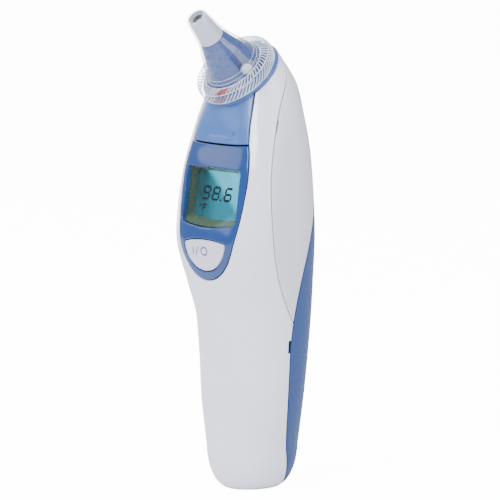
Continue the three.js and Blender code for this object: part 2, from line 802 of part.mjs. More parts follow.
const cells = new THREE.Group();
cells.name = 'cells';
cells.add(
  node('battery_left', aaCell(-1), cellGrey),
  node('battery_right', aaCell(1), cellGrey),
  node('battery_spring_left', cellSpring(-1), steel),
  node('battery_spring_right', cellSpring(1), steel),
  node('battery_contact_left', cellContact(-1), steel),
  node('battery_contact_right', cellContact(1), steel),
);

thermometer.add(casing, screws, display, electronics, probe, cells);

export default thermometer;
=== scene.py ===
"""The looks of the digital ear thermometer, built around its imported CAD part.

Design sizes are in millimetres, as they are on the drawing of the part. MM turns them to
metres where a mesh is made, so that every object in the scene is in metres.
"""

import math

import bmesh
import bpy
import numpy as np
from mathutils import Matrix, Vector
from mathutils.bvhtree import BVHTree


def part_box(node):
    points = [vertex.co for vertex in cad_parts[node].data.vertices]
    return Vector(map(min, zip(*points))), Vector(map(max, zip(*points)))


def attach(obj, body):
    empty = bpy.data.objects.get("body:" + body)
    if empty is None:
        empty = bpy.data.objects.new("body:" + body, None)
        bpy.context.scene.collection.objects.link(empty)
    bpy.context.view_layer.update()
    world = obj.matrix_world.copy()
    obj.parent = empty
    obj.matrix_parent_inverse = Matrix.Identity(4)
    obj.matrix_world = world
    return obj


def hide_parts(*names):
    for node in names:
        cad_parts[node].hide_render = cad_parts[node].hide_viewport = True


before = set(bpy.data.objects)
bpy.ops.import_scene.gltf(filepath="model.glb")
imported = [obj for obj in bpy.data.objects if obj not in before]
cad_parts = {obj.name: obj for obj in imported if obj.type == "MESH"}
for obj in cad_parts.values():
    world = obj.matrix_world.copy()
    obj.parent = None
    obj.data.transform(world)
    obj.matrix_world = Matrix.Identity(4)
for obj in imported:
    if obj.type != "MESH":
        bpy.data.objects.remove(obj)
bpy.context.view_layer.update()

MM = 0.001

# ---------------- driving sizes

PROBE_TILT = math.radians(43.5)
FLANGE = np.array([0.0, -8.5, 132.0])
ALONG = np.array([0.0, -math.sin(PROBE_TILT), math.cos(PROBE_TILT)])
ACROSS = np.array([0.0, math.cos(PROBE_TILT), math.sin(PROBE_TILT)])
RIM_RADIUS = 12.9
RIM_DROP = 4.2
RIM_OFFSET = 1.3

CORNER_HEIGHT = 14.0
FOOT_SCALE = 0.45
FOOT_FLARE = 0.2

# Each station of the body: front y, front z, back y, back z, half width, and how
# square its front and back halves are.
STATIONS = [
    [-16.2, 14.0, 13.5, 14.0, 12.5, 2.1, 2.4],
    [-16.0, 28.0, 14.0, 28.0, 15.3, 2.3, 2.4],
    [-16.4, 43.0, 15.4, 43.0, 16.5, 2.3, 2.4],
    [-17.3, 55.0, 16.2, 55.0, 17.5, 2.3, 2.4],
    [-20.0, 66.0, 16.6, 66.0, 18.6, 2.6, 2.4],
    [-21.6, 78.0, 16.3, 79.0, 19.9, 3.4, 2.5],
    [-19.8, 88.0, 15.3, 90.0, 20.3, 3.9, 2.5],
    [-18.0, 101.0, 14.0, 107.0, 19.3, 3.5, 2.5],
    [-16.0, 109.0, 12.2, 118.0, 18.0, 3.2, 2.4],
    [-15.3, 114.5, 10.5, 128.5, 15.9, 2.8, 2.3],
]

SEAM = 0.15
HOOD = {"y": 54.9, "z": 90.5, "radius": 66.0}
DOOR_TOP = 85.4
DOOR_FOOT = 1.2
SPLIT = {"y": -17.2, "z": 108.3, "slope": 0.3}
NOTCH = {"z": 45.5, "half_y": 1.0, "half_z": 2.0}
PRY_SLOT = {"y": -6.3, "z": 115, "turn": math.radians(22), "half_y": 0.45, "half_z": 2.0}
WALL = 1.7
OUTSIDE = -20.0

DISPLAY_TILT = math.radians(-8.1)
DISPLAY_CENTRE = np.array([0.0, -19.1, 93.2])
LCD_DEPTH = 5.3
WINDOW_MIDDLE = 92.4
WINDOW_HALF = (12.0, 9.2)
RECESS_HALF = (11.6, 7.55)

# Each screw boss of the front housing: across, up and how far forward it reaches.
BOSSES = [(0, 37, -15.0), (-13.5, 60, -8.6), (13.5, 60, -8.6)]

# The AA cells: their length, the height of their lower end, and how far out and back.
CELL_LENGTH = 50.1
CELL_FOOT = 34.6
CELL_PLACE = (7.1, 1.7)

# Where the detector pin stands beside the probe's axis.
PIN = (7.0, -0.9)

# The filter's slanted ribs, which of them are red, and where the dark dot lies.
RIBS = 60
RED_RIBS = (46, 47, 48)
MARK_TURN = 2 * math.pi * 47 / RIBS + 0.06

COLUMNS = 224
SHARP = math.radians(38)


# ---------------- body surface


def rim_station():
    """The top station: a circle square to the probe, just under the filter."""
    centre = FLANGE - RIM_DROP * ALONG + RIM_OFFSET * ACROSS
    front = centre - RIM_RADIUS * ACROSS
    back = centre + RIM_RADIUS * ACROSS
    return [front[1], front[2], back[1], back[2], RIM_RADIUS, 2.0, 2.0]


STATION_ROWS = np.array(STATIONS + [rim_station()])


def through(points, t):
    """Points at t (0 to 1) on the centripetal Catmull-Rom curve through points."""
    ends = [2 * points[0] - points[1]], points, [2 * points[-1] - points[-2]]
    all_points = np.vstack(ends)
    spans = len(points) - 1
    index = np.clip(np.floor(t * spans).astype(int), 0, spans - 1)
    part = (t * spans - index)[:, None]
    p0, p1, p2, p3 = (all_points[index + k] for k in range(4))

    def step(a, b):
        return np.linalg.norm(b - a, axis=1, keepdims=True) ** 0.5

    d0, d1, d2 = step(p0, p1), step(p1, p2), step(p2, p3)
    leave = ((p1 - p0) / d0 - (p2 - p0) / (d0 + d1) + (p2 - p1) / d1) * d1
    reach = ((p2 - p1) / d1 - (p3 - p1) / (d1 + d2) + (p3 - p2) / d2) * d1
    cubic = 2 * p1 - 2 * p2 + leave + reach
    square = -3 * p1 + 3 * p2 - 2 * leave - reach
    return ((cubic * part + square) * part + leave) * part + p1


def body_surface(row, angle, crown):
    """Points of the body in mm. row runs from -1.3 at the middle of the foot, by -1 at its
    edge, 0 at the lowest station and 1 at the rim, on along the crown's profile above 1.
    """
    t = np.clip(row, 0, 1)
    front = through(STATION_ROWS[:, [4, 0, 1]], t)
    back = through(STATION_ROWS[:, [4, 2, 3]], t)
    knots = np.linspace(0, 1, len(STATION_ROWS))
    square_front = np.interp(t, knots, STATION_ROWS[:, 5])
    square_back = np.interp(t, knots, STATION_ROWS[:, 6])
    bend = np.clip(row + 1, 0, 1) * math.pi / 2
    scale = FOOT_SCALE + (1 - FOOT_SCALE) * np.sin(bend)
    scale = np.where(row < -1, FOOT_SCALE * (row + 1.3) / 0.3, scale)
    lift = CORNER_HEIGHT * np.cos(bend)
    power = np.where(np.sin(angle) < 0, square_front, square_back)
    cos, sin = np.cos(angle), np.sin(angle)
    reach = (np.abs(cos) ** power + np.abs(sin) ** power) ** (-1 / power)
    flare = FOOT_FLARE * lift * np.exp(-lift / 3) * (lift < CORNER_HEIGHT)
    middle = (front + back) / 2
    half = (back - front) / 2
    x = (front[:, 0] * scale - flare) * reach * cos
    y = middle[:, 1] + half[:, 1] * scale * reach * sin
    z = middle[:, 2] + half[:, 2] * scale * reach * sin - lift
    points = np.stack([x, y, z], axis=1)
    above = row > 1
    if above.any():
        points[above] = crown_points(row[above], angle[above], crown)
    return points


def crown_points(row, angle, crown):
    """Points on circles square to the probe: the crown lists offset, radius and height."""
    knots = np.linspace(1, 2, len(crown))
    offset, radius, height = (np.interp(row, knots, column) for column in zip(*crown))
    across = offset + radius * np.sin(angle)
    points = FLANGE + across[:, None] * ACROSS + height[:, None] * ALONG
    points[:, 0] = radius * np.cos(angle)
    return points


# How the surface runs on past the rim, as offset, radius and height on the probe: turned
# in under the filter on the housings, and up, in and down round the cone on the collar.
RIM_CROWN = [
    (RIM_OFFSET, RIM_RADIUS, -RIM_DROP),
    (1.25, RIM_RADIUS - 0.1, -RIM_DROP),
    (0.0, 10.95, -RIM_DROP),
    (0.0, 10.9, -RIM_DROP - 1.8),
]
COLLAR_CROWN = [
    (RIM_OFFSET, RIM_RADIUS, -RIM_DROP),
    (RIM_OFFSET, 12.84, -3.9),
    (0.75, 12.62, -2.8),
    (0.4, 12.4, -2.1),
    (0.3, 12.28, -1.5),
    (0.3, 12.2, -1.28),
    (0.3, 12.0, -1.2),
    (0.0, 9.9, -1.2),
    (0.0, 9.65, -1.3),
    (0.0, 9.6, -1.6),
    (0.0, 9.6, -7.0),
]


def grid(rows):
    """A closed band of triangles over the rows, as (parameters, triangles)."""
    angles = np.arange(COLUMNS) * 2 * math.pi / COLUMNS
    row_grid, angle_grid = np.meshgrid(rows, angles, indexing="ij")
    params = np.stack([row_grid.ravel(), angle_grid.ravel()], axis=1)
    i, j = np.meshgrid(np.arange(len(rows) - 1), np.arange(COLUMNS), indexing="ij")
    i, j = i.ravel(), j.ravel()
    k = (j + 1) % COLUMNS
    a, b = i * COLUMNS + j, i * COLUMNS + k
    c, d = (i + 1) * COLUMNS + k, (i + 1) * COLUMNS + j
    return params, np.vstack([np.stack([a, b, c], 1), np.stack([a, c, d], 1)])


# ---------------- cutting a skin


class Skin:
    """A patch of the body surface: parameters, triangles and the crown it runs on to."""

    def __init__(self, rows, crown=RIM_CROWN):
        self.crown = crown
        self.params, self.triangles = grid(rows)

    def points(self, params=None):
        params = self.params if params is None else params
        return body_surface(params[:, 0], params[:, 1], self.crown)

    def normals(self):
        """Outward normals, from small steps along the surface."""
        steps = []
        for axis, size in ((0, 1e-3), (1, 2e-3)):
            move = np.zeros(2)
            move[axis] = size
            steps.append(self.points(self.params + move) - self.points(self.params - move))
        normal = np.cross(steps[1], steps[0])
        length = np.linalg.norm(normal, axis=1, keepdims=True)
        return normal / np.maximum(length, 1e-12)

    def keep(self, value):
        """Drops the triangles whose middle has a value below zero."""
        corners = value(self.points())[self.triangles]
        kept = self.triangles[corners.mean(axis=1) > 0]
        used, flat = np.unique(kept, return_inverse=True)
        self.params = self.params[used]
        self.triangles = flat.reshape(-1, 3)

    def between(self, a, b, t):
        turn = (b[:, 1] - a[:, 1] + math.pi) % (2 * math.pi) - math.pi
        step = np.stack([b[:, 0] - a[:, 0], turn], axis=1)
        return a + step * t[:, None]

    def split(self, value):
        """Cuts the triangles along value == 0, so that none crosses it."""
        level = value(self.points())
        level[np.abs(level) < 2e-3] = 0
        sign = np.sign(level)[self.triangles]
        after = np.roll(sign, -1, axis=1)
        crossed = sign * after < 0
        if not crossed.any():
            return
        ends = np.stack([self.triangles, np.roll(self.triangles, -1, axis=1)], axis=2)
        pairs, place = np.unique(np.sort(ends[crossed], axis=1), axis=0, return_inverse=True)
        a, b = self.params[pairs[:, 0]], self.params[pairs[:, 1]]
        side = np.sign(level[pairs[:, 0]])
        low, high = np.zeros(len(pairs)), np.ones(len(pairs))
        for _ in range(10):
            middle = (low + high) / 2
            same = np.sign(value(self.points(self.between(a, b, middle)))) == side
            low = np.where(same, middle, low)
            high = np.where(same, high, middle)
        fresh = self.between(a, b, (low + high) / 2)
        cut = np.full(sign.shape, -1)
        cut[crossed] = len(self.params) + place.ravel()
        self.params = np.vstack([self.params, fresh])
        count = crossed.sum(axis=1)
        result = [self.triangles[count == 0]]
        for first in range(3):
            order = [first, (first + 1) % 3, (first + 2) % 3]
            edge = cut[:, order]
            lone = (count == 2) & (edge[:, 1] < 0)
            once = (count == 1) & (edge[:, 0] >= 0)
            # Columns 0 to 2 are a triangle's corners, 3 to 5 the new points on its edges.
            both = np.hstack([self.triangles[:, order], edge])
            for chosen, columns in ((lone, [0, 3, 5]), (lone, [3, 1, 2]), (lone, [3, 2, 5]),
                                    (once, [0, 3, 2]), (once, [3, 1, 2])):
                result.append(both[chosen][:, columns])
        self.triangles = np.vstack(result)


def cut_shell(rows, parts, radius, wall=WALL, crown=RIM_CROWN, join=None, rise=None):
    """A shell of the body where every part is positive, with its edges rounded.

    parts are functions of points that give the distance inside a seam in mm. join
    replaces their smallest value where a piece isn't a plain overlap of its parts.
    rise lifts the surface by a function of the points.
    """

    def inside(points):
        return np.min([part(points) for part in parts], axis=0)

    region = join or inside
    skin = Skin(rows, crown)
    skin.keep(lambda points: region(points) + 2.0)
    if join is None:
        for i, first in enumerate(parts):
            for second in parts[i + 1:]:
                skin.split(lambda points: first(points) - second(points))
    for turn in (90, 67.5, 45, 22.5, 0):
        depth = radius * (1 - math.sin(math.radians(turn)))
        skin.split(lambda points: region(points) - depth)
        if turn == 90:
            skin.keep(region)
    points = skin.points()
    normals = skin.normals()
    inset = np.clip(radius - region(points), 0, radius)
    sink = radius - np.sqrt(np.maximum(radius ** 2 - inset ** 2, 0))
    lift = rise(points) if rise else 0
    outer = points + normals * (lift - sink)[:, None]
    inner = points - normals * wall
    return thicken(outer, inner, skin.triangles)


def thicken(outer, inner, triangles):
    """Joins an outer and an inner layer along the open edges, as (points, faces)."""
    edges = np.vstack([triangles[:, [0, 1]], triangles[:, [1, 2]], triangles[:, [2, 0]]])
    _, first, count = np.unique(
        np.sort(edges, axis=1), axis=0, return_index=True, return_counts=True)
    rim = edges[first[count == 1]]
    offset = len(outer)
    faces = [list(face) for face in triangles]
    faces += [[c + offset, b + offset, a + offset] for a, b, c in triangles]
    faces += [[b, a, a + offset, b + offset] for a, b in rim]
    return np.vstack([outer, inner]), faces


# ---------------- seams


def curve(controls, marks):
    """Points at marks (0 to 1) on the Bezier curve that the control points lead."""
    order = len(controls) - 1
    weights = [[math.comb(order, k) * t ** k * (1 - t) ** (order - k)
                for k in range(order + 1)] for t in marks]
    return np.array(weights) @ np.array(controls, float)


def half_outline(start, *segments):
    """A closed outline in the front view, mirrored from its right half.

    Each segment lists the points that lead it: one for a line, two for a quadratic
    curve and three for a cubic one, the last of them where it ends.
    """
    right = np.array([start], float)
    for segment in segments:
        count = 16 if len(segment) > 1 else 4
        marks = np.linspace(0, 1, count + 1)[1:]
        right = np.vstack([right, curve([right[-1], *segment], marks)])
    left = right[::-1] * [-1, 1]
    return np.vstack([right, left[np.abs(left[:, 0]) > 1e-6]])


def inside_outline(outline, u, v):
    """Distance inside a closed outline, negative outside it."""
    nearest = np.full(len(u), np.inf)
    odd = np.zeros(len(u), bool)
    for (au, av), (bu, bv) in zip(outline, np.roll(outline, -1, axis=0)):
        du, dv = bu - au, bv - av
        along = ((u - au) * du + (v - av) * dv) / max(du * du + dv * dv, 1e-12)
        along = np.clip(along, 0, 1)
        apart = (u - au - along * du) ** 2 + (v - av - along * dv) ** 2
        nearest = np.minimum(nearest, apart)
        if av != bv:
            crosses = (av > v) != (bv > v)
            odd ^= crosses & (u < du * (v - av) / dv + au)
    return np.where(odd, 1, -1) * np.sqrt(nearest)


SHIELD = half_outline(
    (0, 66.6),
    [(4.8, 66.6), (9.2, 70), (11.6, 76.8)],
    [(13.5, 82.5), (14.0, 88), (14.5, 94.5)],
    [(15.0, 100), (14.2, 105), (12.65, 109.5)],
    [(12.65 - 30.5 * 0.13, 140)],
)
WINDOW = half_outline(
    (0, 83.2),
    [(5.2, 83.2), (10.4, 84.2)],
    [(12.0, 84.3), (12.0, 85.8)],
    [(12.0, 100.0)],
    [(12.0, 101.6), (10.4, 101.6)],
    [(0, 101.6)],
)
BUTTON = half_outline(
    (0, 69.6),
    [(4.8, 69.6), (8.2, 73.5), (8.9, 77.4)],
    [(9.0, 78.5), (7.9, 78.6)],
    [(3.95, 79.4), (0, 79.4)],
)
START = half_outline((0, 87.9), [(6.2, 87.9), (6.2, 95.5)], [(6.2, 103.1), (0, 103.1)])


def panel_outline():
    """The blue panel's edge in the side view, closed far behind the body."""
    marks = np.linspace(0, 1, 24)
    return np.vstack([
        [(5.0, -20)],
        curve([(5.0, 0), (3.2, 10), (0, 20), (0, 34)], marks),
        curve([(0, 44), (0.3, 62), (6.2, 76), (10.5, 93)], marks),
        [(16.6, 117), (60, 117), (60, -20)],
    ])


PANEL = panel_outline()


def seen_from(side, outline):
    """The distance inside an outline on the front (side -1) or the back (side 1)."""

    def inside(points):
        value = inside_outline(outline, points[:, 0], points[:, 2])
        return np.where(points[:, 1] * side > 4, value, OUTSIDE)

    return inside


in_shield = seen_from(-1, SHIELD)
in_window = seen_from(-1, WINDOW)
in_button = seen_from(-1, BUTTON)
in_start = seen_from(1, START)


def in_panel(points):
    return inside_outline(PANEL, points[:, 1], points[:, 2])


def in_hood(points):
    return HOOD["radius"] - np.hypot(points[:, 1] - HOOD["y"], points[:, 2] - HOOD["z"])


def above_split(points):
    rise = points[:, 2] - SPLIT["z"] - (points[:, 1] - SPLIT["y"]) * SPLIT["slope"]
    return rise / math.hypot(1, SPLIT["slope"])


def in_box(y, z, box):
    """Distance inside a side-view box round y and z of 0, negative outside it."""
    return np.minimum(box["half_y"] - np.abs(y), box["half_z"] - np.abs(z))


def in_notch(points):
    return in_box(points[:, 1], points[:, 2] - NOTCH["z"], NOTCH)


def in_pry_slot(points):
    cos, sin = math.cos(PRY_SLOT["turn"]), math.sin(PRY_SLOT["turn"])
    y, z = points[:, 1] - PRY_SLOT["y"], points[:, 2] - PRY_SLOT["z"]
    return in_box(y * cos - z * sin, z * cos + y * sin, PRY_SLOT)


def height_on_probe(points):
    return (points - FLANGE) @ ALONG


# ---------------- making pieces


def smooth(mesh):
    """Shades the mesh smooth, apart from edges sharper than SHARP."""
    mesh.polygons.foreach_set("use_smooth", [True] * len(mesh.polygons))
    mesh.set_sharp_from_angle(angle=SHARP)


def make(name, points, faces, body, material, slot, replaces=()):
    """A mesh object from points in mm, riding on a body."""
    mesh = bpy.data.meshes.new(name)
    mesh.from_pydata((np.asarray(points) * MM).tolist(), [], faces)
    mesh.validate()
    build = bmesh.new()
    build.from_mesh(mesh)
    bmesh.ops.remove_doubles(build, verts=build.verts, dist=2e-6)
    bmesh.ops.recalc_face_normals(build, faces=build.faces)
    build.to_mesh(mesh)
    build.free()
    smooth(mesh)
    mesh.materials.append(material)
    obj = bpy.data.objects.new(name, mesh)
    bpy.context.scene.collection.objects.link(obj)
    if body:
        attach(obj, body)
    if replaces:
        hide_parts(*replaces)
    return obj


def joined(*meshes):
    """Several (points, faces) as one."""
    faces, offset = [], 0
    for points, some_faces in meshes:
        faces += [[offset + i for i in face] for face in some_faces]
        offset += len(points)
    return np.vstack([points for points, _ in meshes]), faces


def bands(rings, closed):
    """Rings of points joined by quads, from the last to the first too if closed."""
    sides, count = len(rings[0]), len(rings)
    faces = []
    for i in range(count if closed else count - 1):
        low, high = i * sides, (i + 1) % count * sides
        for j in range(sides):
            k = (j + 1) % sides
            faces.append([low + j, low + k, high + k, high + j])
    return np.vstack(rings), faces


def slabs(shapes, layers, place):
    """A thin slab for each outline. place puts one of its points at a layer's height."""
    points, faces = [], []
    for shape in shapes:
        base, count = len(points), len(shape)
        for layer in layers:
            points += [place(x, z, layer) for x, z in shape]
        faces.append([base + i for i in range(count)])
        faces.append([base + count + i for i in range(count)][::-1])
        for i in range(count):
            k = (i + 1) % count
            faces.append([base + i, base + k, base + count + k, base + count + i])
    return points, faces


def spun(profile, sides=96, closed=True):
    """Turns a profile of (radius, height) about the Z axis, in mm."""
    angles = np.arange(sides) * 2 * math.pi / sides
    cos, sin = np.cos(angles), np.sin(angles)
    return bands([np.stack([radius * cos, radius * sin, np.full(sides, height)], 1)
                  for radius, height in profile], closed)


def rounded(profile, radius):
    """A closed profile with its corners rounded, apart from those on the axis."""
    points = [np.array(p, float) for p in profile]
    result = []
    for i, corner in enumerate(points):
        before, after = points[i - 1] - corner, points[(i + 1) % len(points)] - corner
        long_before, long_after = np.linalg.norm(before), np.linalg.norm(after)
        reach = min(radius, 0.45 * long_before, 0.45 * long_after)
        on_axis = corner[0] < 1e-6
        if on_axis or reach < 1e-4:
            result.append(corner)
            continue
        start = corner + before / long_before * reach
        end = corner + after / long_after * reach
        result += list(curve([start, corner, end], np.linspace(0, 1, 5)))
    return result


def on_probe(mesh):
    """Moves points from the probe's own frame, its axis along Z, to the object's."""
    points, faces = mesh
    return FLANGE + points @ np.stack([[1.0, 0.0, 0.0], ACROSS, ALONG]), faces


def rounded_box(x, y, z, radius):
    """A box with rounded edges, in mm."""
    build = bmesh.new()
    bmesh.ops.create_cube(build, size=1)
    low, high = np.array([x, y, z]).T
    for vert in build.verts:
        vert.co = Vector(low + (np.array(vert.co) + 0.5) * (high - low))
    bmesh.ops.bevel(build, geom=build.edges[:], offset=radius, segments=3,
                    profile=0.5, affect="EDGES")
    points = np.array([vert.co[:] for vert in build.verts])
    build.verts.index_update()
    faces = [[vert.index for vert in face.verts] for face in build.faces]
    build.free()
    return points, faces


def tube(path, radius, sides=12):
    """A round wire along a path of points, with closed ends."""
    path = np.asarray(path, float)
    tangent = np.gradient(path, axis=0)
    tangent /= np.linalg.norm(tangent, axis=1, keepdims=True)
    side = np.cross(tangent[0], [0.3, 0.2, 0.9])
    rings = []
    angles = np.arange(sides) * 2 * math.pi / sides
    for point, ahead in zip(path, tangent):
        side = side - ahead * (side @ ahead)
        side /= np.linalg.norm(side)
        other = np.cross(ahead, side)
        rings.append(point + radius * (np.cos(angles)[:, None] * side
                                       + np.sin(angles)[:, None] * other))
    points, faces = bands(rings, False)
    last = len(points) - sides
    faces.append(list(range(sides))[::-1])
    faces.append([last + j for j in range(sides)])
    return points, faces


def cut_away(obj, cutter):
    """Takes cutter out of obj and deletes it."""
    modifier = obj.modifiers.new("cut", "BOOLEAN")
    modifier.operation = "DIFFERENCE"
    modifier.solver = "EXACT"
    modifier.object = cutter
    bpy.context.view_layer.update()
    graph = bpy.context.evaluated_depsgraph_get()
    mesh = bpy.data.meshes.new_from_object(obj.evaluated_get(graph))
    obj.modifiers.remove(modifier)
    obj.data = mesh
    smooth(mesh)
    bpy.data.objects.remove(cutter, do_unlink=True)


# ---------------- materials


class Look:
    """A node material, built step by step."""

    def __init__(self, name):
        self.material = bpy.data.materials.new(name)
        self.material.use_nodes = True
        self.tree = self.material.node_tree
        self.tree.nodes.clear()
        self.output = self.add("ShaderNodeOutputMaterial")

    def add(self, kind, sockets=(), **settings):
        node = self.tree.nodes.new(kind)
        for key, value in settings.items():
            setattr(node, key, value)
        for socket, value in dict(sockets).items():
            node.inputs[socket].default_value = value
        return node

    def link(self, source, target):
        self.tree.links.new(source, target)

    def coordinates(self):
        return self.add("ShaderNodeTexCoord").outputs["Object"]

    def noise(self, scale, detail=3.0):
        node = self.add("ShaderNodeTexNoise", {"Scale": scale, "Detail": detail})
        self.link(self.coordinates(), node.inputs["Vector"])
        return node.outputs["Fac"]

    def ramp(self, source, low, high, start=0.3, end=0.7):
        """Spreads a value between start and end on to low to high."""
        node = self.add("ShaderNodeMapRange", {
            "From Min": start, "From Max": end, "To Min": low, "To Max": high})
        self.link(source, node.inputs["Value"])
        return node.outputs["Result"]

    def mix_colour(self, factor, first, second):
        node = self.add("ShaderNodeMix", data_type="RGBA")
        self.link(factor, node.inputs[0])
        for socket, colour in ((node.inputs[6], first), (node.inputs[7], second)):
            if isinstance(colour, tuple):
                socket.default_value = (*colour, 1.0)
            else:
                self.link(colour, socket)
        return node.outputs[2]

    def glint(self, head_on=0.04):
        """The share of light that a clear face mirrors, more at a glancing angle."""
        facing = self.add("ShaderNodeLayerWeight", {"Blend": 0.5})
        steep = self.add("ShaderNodeMath", {1: 5.0}, operation="POWER")
        self.link(facing.outputs["Facing"], steep.inputs[0])
        return self.ramp(steep.outputs[0], head_on, 0.9, 0.0, 1.0)

    def grain(self, scale, strength, detail=2.0):
        """A fine bump, 0.1 mm high at full strength."""
        node = self.add("ShaderNodeBump", {"Strength": strength, "Distance": 0.0001})
        self.link(self.noise(scale, detail), node.inputs["Height"])
        return node.outputs["Normal"]

    def mottled(self, shader, colour, darker, scale):
        """Lets the base colour wander between two tones. Returns the noise it follows."""
        wide = self.noise(scale, 4.0)
        self.link(self.mix_colour(self.ramp(wide, 0, 1), darker, colour),
                  shader.inputs["Base Color"])
        return wide

    def mixed(self, kind, first, second, factor=None):
        """Two shaders, mixed by a factor or added up."""
        node = self.add(kind)
        for shader, socket in zip((first, second), list(node.inputs)[-2:]):
            self.link(shader.outputs[0], socket)
        if factor is not None:
            self.link(factor, node.inputs[0])
        return node

    def finished(self, shader):
        self.link(shader.outputs[0], self.output.inputs["Surface"])
        return self.material


def plastic(name, colour, roughness, coat=0.0, grain=0.03, grain_size=9000.0, spread=0.06,
            dust=0.0, subsurface=0.0, gleam=0.5):
    """Moulded plastic: slow mottling, uneven polish, a fine grain and light handling wear."""
    look = Look(name)
    shader = look.add("ShaderNodeBsdfPrincipled", {
        "IOR": 1.5, "Specular IOR Level": gleam, "Coat Weight": coat, "Coat Roughness": 0.06,
        "Subsurface Weight": subsurface, "Subsurface Scale": 0.001,
        "Subsurface Radius": (1.0, 1.0, 1.0)})
    look.mottled(shader, colour, tuple(c * (0.965 - dust) for c in colour), 60.0)
    polish = look.ramp(look.noise(700.0, 4.0), max(roughness - spread, 0.02),
                       roughness + spread)
    look.link(polish, shader.inputs["Roughness"])
    look.link(look.grain(grain_size, grain), shader.inputs["Normal"])
    return look.finished(shader)


def metal(name, colour, roughness):
    """Plated metal with a fine grain and duller patches."""
    look = Look(name)
    shader = look.add("ShaderNodeBsdfPrincipled", {"Metallic": 1.0})
    wide = look.mottled(shader, colour, tuple(c * 0.8 for c in colour), 300.0)
    look.link(look.ramp(wide, roughness - 0.08, roughness + 0.12), shader.inputs["Roughness"])
    look.link(look.grain(4000.0, 0.12), shader.inputs["Normal"])
    return look.finished(shader)


def clear(name, tint, body_colour, haze_and_sheen, roughness, grain=0.02, head_on=0.04):
    """Clear moulded plastic: what lies behind shows through, under a thin glossy skin."""
    look = Look(name)
    see_through = look.add("ShaderNodeBsdfTransparent", {"Color": (*tint, 1.0)})
    solid = look.add("ShaderNodeBsdfPrincipled", {
        "IOR": 1.5, "Base Color": (*body_colour, 1.0)})
    look.link(look.ramp(look.noise(900.0), roughness * 0.7, roughness * 1.3),
              solid.inputs["Roughness"])
    gloss = look.add("ShaderNodeBsdfAnisotropic", {"Roughness": roughness})
    bump = look.grain(1500.0, grain, 3.0)
    look.link(bump, gloss.inputs["Normal"])
    look.link(bump, solid.inputs["Normal"])
    # The pale solid mixed in here is real cloudiness on the film, ring and pane, and a painted
    # sheen on the filter's ribs.
    haze_and_sheen_share = look.ramp(look.noise(250.0), haze_and_sheen * 0.7, haze_and_sheen * 1.3)
    haze_and_sheen_mix = look.mixed("ShaderNodeMixShader", see_through, solid, haze_and_sheen_share)
    return look.finished(look.mixed("ShaderNodeMixShader", haze_and_sheen_mix, gloss, look.glint(head_on)))


def lcd_look():
    """The crystal cell: teal, with painted shade from the recess on its left and a painted band
    of light from the upper right, which the cell gives off as a glow.
    """
    look = Look("lcd")
    low, high = (np.array(corner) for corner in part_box("lcd_glass"))
    split = look.add("ShaderNodeSeparateXYZ")
    look.link(look.coordinates(), split.inputs[0])
    across = look.ramp(split.outputs["X"], 0.0, 1.0, low[0], high[0])
    upward = look.ramp(split.outputs["Z"], 0.0, 1.0, low[2], high[2])
    # Painted shade: the cell darkens towards the left, where the recess wall would shade it.
    shade = look.ramp(across, 0.0, 1.0, 0.16, 0.44)
    # Painted light: a band lit from the upper right, rising along x and z, plus a random tone
    # from noise.
    slope = look.add("ShaderNodeMath", {1: 0.8}, operation="MULTIPLY_ADD")
    look.link(upward, slope.inputs[0])
    look.link(across, slope.inputs[2])
    painted_light_band_and_noise = look.add("ShaderNodeMath", operation="ADD")
    look.link(look.ramp(slope.outputs[0], 0.0, 1.0, 0.92, 1.06), painted_light_band_and_noise.inputs[0])
    look.link(look.ramp(look.noise(120.0), -0.1, 0.1), painted_light_band_and_noise.inputs[1])
    # From a dark painted shade to teal, then on to the pale blue of the painted light band.
    teal_and_painted_shade = look.mix_colour(shade, (0.001, 0.012, 0.022), (0.002, 0.24, 0.38))
    colour = look.mix_colour(painted_light_band_and_noise.outputs[0], teal_and_painted_shade, (0.11, 0.78, 1.08))
    # Emission Strength 1 makes the cell glow with these painted tones of light and shade.
    shader = look.add("ShaderNodeBsdfPrincipled", {
        "IOR": 1.5, "Roughness": 0.25, "Specular IOR Level": 0.15,
        "Base Color": (0.01, 0.05, 0.06, 1.0), "Emission Strength": 1.0})
    look.link(colour, shader.inputs["Emission Color"])
    look.link(look.grain(20000.0, 0.02, 1.0), shader.inputs["Normal"])
    return look.finished(shader)


WHITE = plastic("gloss_white", (0.76, 0.765, 0.90), 0.24, coat=0.5, grain=0.015,
                subsurface=0.06)
KEY_WHITE = plastic("key_white", (0.58, 0.58, 0.74), 0.26, coat=0.3, grain=0.02)
SATIN_WHITE = plastic("satin_white", (0.62, 0.625, 0.72), 0.40, coat=0.15, grain=0.05)
GLOSS_BLUE = plastic("gloss_blue", (0.008, 0.044, 0.185), 0.14, coat=0.4, grain=0.01,
                     spread=0.04, gleam=0.4)
SATIN_BLUE = plastic("satin_blue", (0.022, 0.058, 0.20), 0.45, grain=0.08, gleam=0.3)
EJECTOR_BLUE = plastic("ejector_blue", (0.038, 0.112, 0.35), 0.34, coat=0.25, grain=0.12,
                       grain_size=5000.0, gleam=0.45)
CONE_BLUE = plastic("cone_blue", (0.010, 0.052, 0.24), 0.30, coat=0.1, grain=0.04, gleam=0.35)
MILKY = plastic("milky", (0.62, 0.62, 0.74), 0.4, grain=0.04, subsurface=0.3)
FILM = clear("clear_film", (0.96, 0.97, 0.985), (0.75, 0.80, 0.90), 0.018, 0.13,
             head_on=0.035)
RING_FILM = clear("ring_film", (0.86, 0.90, 0.95), (0.72, 0.79, 0.92), 0.03, 0.10, grain=0.1)
